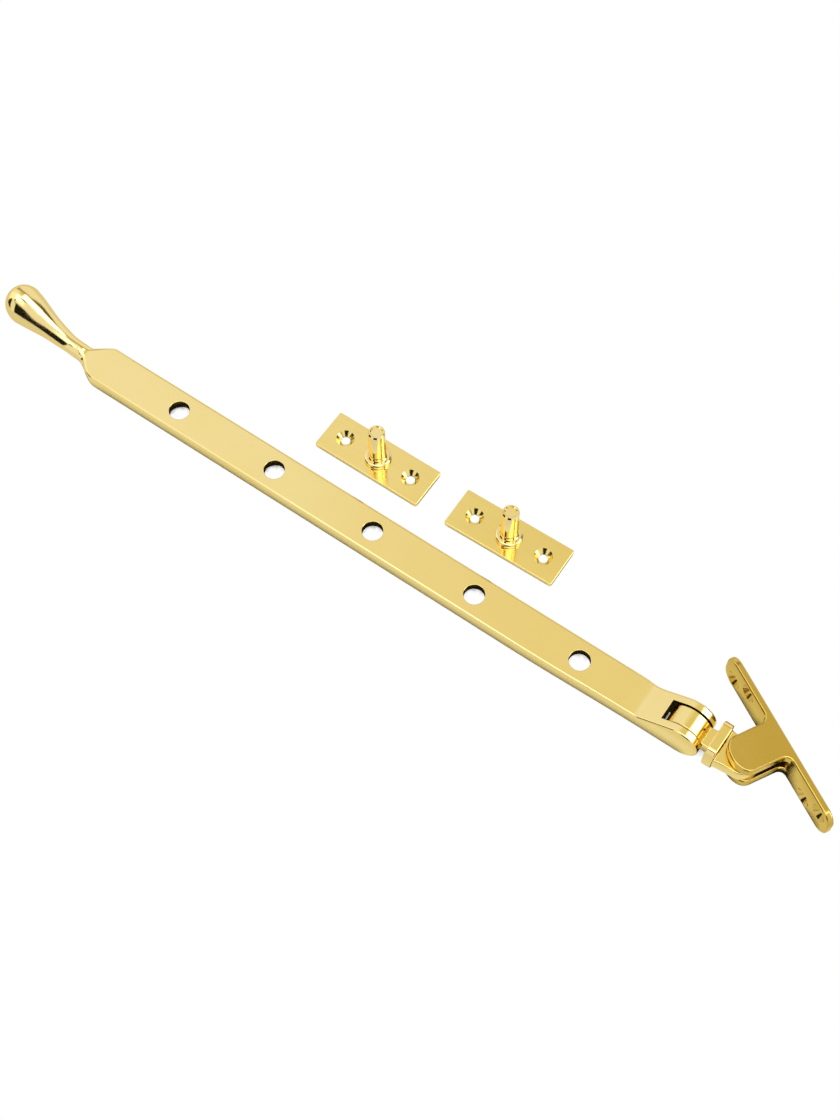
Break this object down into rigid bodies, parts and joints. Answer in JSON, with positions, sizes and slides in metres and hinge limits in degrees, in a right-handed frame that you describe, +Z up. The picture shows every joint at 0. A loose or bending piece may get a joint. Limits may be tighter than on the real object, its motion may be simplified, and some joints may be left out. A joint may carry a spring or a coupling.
{
  "type": "casement window stay",
  "caption": "Brass peg stay for a casement window: flat arm with peg holes and a teardrop handle on a two-way jointed bracket, with loose peg plates.",
  "frame": {"origin": "middle of the bracket plate's back face, the face that is screwed to the window", "axes": "+X is that face's outward normal, +Y runs along the plate, +Z is up, along the swivel pin; the arm lies in its laid-out place"},
  "size_m": [0.1744, 0.3049, 0.0216],
  "materials": {
    "arm_brass": "polished lengthwise, satin sheen",
    "joint_brass": "polished",
    "bracket_brass": "polished, fine satin",
    "pin_brass": "polished, riveted flush",
    "plate_brass": "brushed, lacquered",
    "peg_brass": "turned and polished"
  },
  "bodies": {
    "bracket": {"mounting_bracket": "bracket_brass", "swivel_pin": "pin_brass"},
    "yoke": {"swivel_yoke": "joint_brass"},
    "arm": {"stay_arm": "arm_brass", "lift_pin": "pin_brass"},
    "loose_peg_1": {"peg_plate_1": "plate_brass", "peg_1": "peg_brass"},
    "loose_peg_2": {"peg_plate_2": "plate_brass", "peg_2": "peg_brass"}
  },
  "joints": [
    {"name": "swivel", "type": "hinge", "parent": "bracket", "child": "yoke", "pos_m": [-0.0151, 0, 0], "axis": [0, 0, 1], "range_deg": [-3, 150.2]},
    {"name": "lift", "type": "hinge", "parent": "yoke", "child": "arm", "pos_m": [-0.0254, 0.01796, 0.00025], "axis": [0.8674, 0.4976, 0], "range_deg": [-90, 90]},
    {"name": "peg_1_lift_off", "type": "slide", "parent": "bracket", "child": "loose_peg_1", "axis": [0, 0, 1], "range_m": [0, 0.05]},
    {"name": "peg_2_lift_off", "type": "slide", "parent": "bracket", "child": "loose_peg_2", "axis": [0, 0, 1], "range_m": [0, 0.05]}
  ]
}
